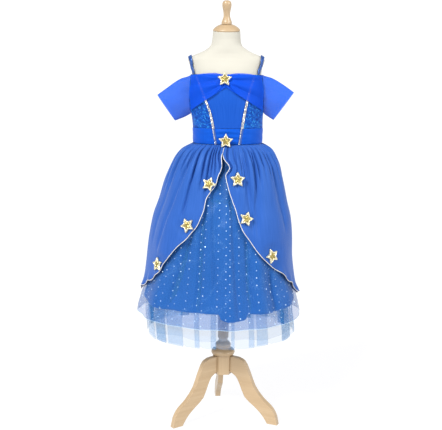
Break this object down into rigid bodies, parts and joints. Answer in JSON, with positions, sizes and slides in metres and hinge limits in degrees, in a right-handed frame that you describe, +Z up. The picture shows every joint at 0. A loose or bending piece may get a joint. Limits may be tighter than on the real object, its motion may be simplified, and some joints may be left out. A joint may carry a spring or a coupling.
{
  "type": "costume dress on a dress form",
  "caption": "Child's costume dress with open overskirt, net petticoat, short net sleeves and padded stars, on a limbless dress form with a three-legged stand.",
  "frame": {"origin": "on the floor, at the bottom centre of the box round the whole; the pole stands 15 mm to the wearer's left of it", "axes": "+Z up; the front faces -Y; the wearer's left is +X"},
  "size_m": [0.4943, 0.3743, 1.2568],
  "materials": {
    "satin_blue": "satin",
    "royal_satin": "satin",
    "royal_chiffon": "sheer",
    "royal_net": "sheer stiff net",
    "sequin_velvet": "velvet with foil flecks",
    "glitter_strap": "glitter",
    "sparkle_net": "sheer net with foil dots",
    "petticoat_net": "sheer net",
    "gold_sequin": "sequin",
    "gold_foil": "metallic foil",
    "cream_jersey": "knitted jersey",
    "light_wood": "lacquered"
  },
  "bodies": {
    "root": {"overskirt_left": "satin_blue", "overskirt_right": "satin_blue", "underskirt": "satin_blue", "bodice_front_centre": "satin_blue", "bodice_back_left": "satin_blue", "bodice_back_right": "satin_blue", "waistband": "royal_satin", "bust_drape": "royal_chiffon", "sleeve_left": "royal_net", "sleeve_right": "royal_net", "bodice_side_left": "sequin_velvet", "bodice_side_right": "sequin_velvet", "strap_left": "glitter_strap", "strap_right": "glitter_strap", "sparkle_overlay": "sparkle_net", "petticoat_outer": "petticoat_net", "petticoat_inner": "petticoat_net", "seam_trim_left": "gold_sequin", "seam_trim_right": "gold_sequin", "star_bust": "gold_foil", "star_waist": "gold_foil", "star_left_upper": "gold_foil", "star_left_middle": "gold_foil", "star_left_lower": "gold_foil", "star_right_upper": "gold_foil", "star_right_middle": "gold_foil", "star_right_lower": "gold_foil", "form_torso": "cream_jersey", "neck_cap": "light_wood", "neck_handle": "light_wood", "stand_pole": "light_wood", "stand_collar": "light_wood", "stand_hub": "light_wood", "leg_front_left": "light_wood", "leg_front_right": "light_wood", "leg_back": "light_wood"}
  },
  "joints": []
}
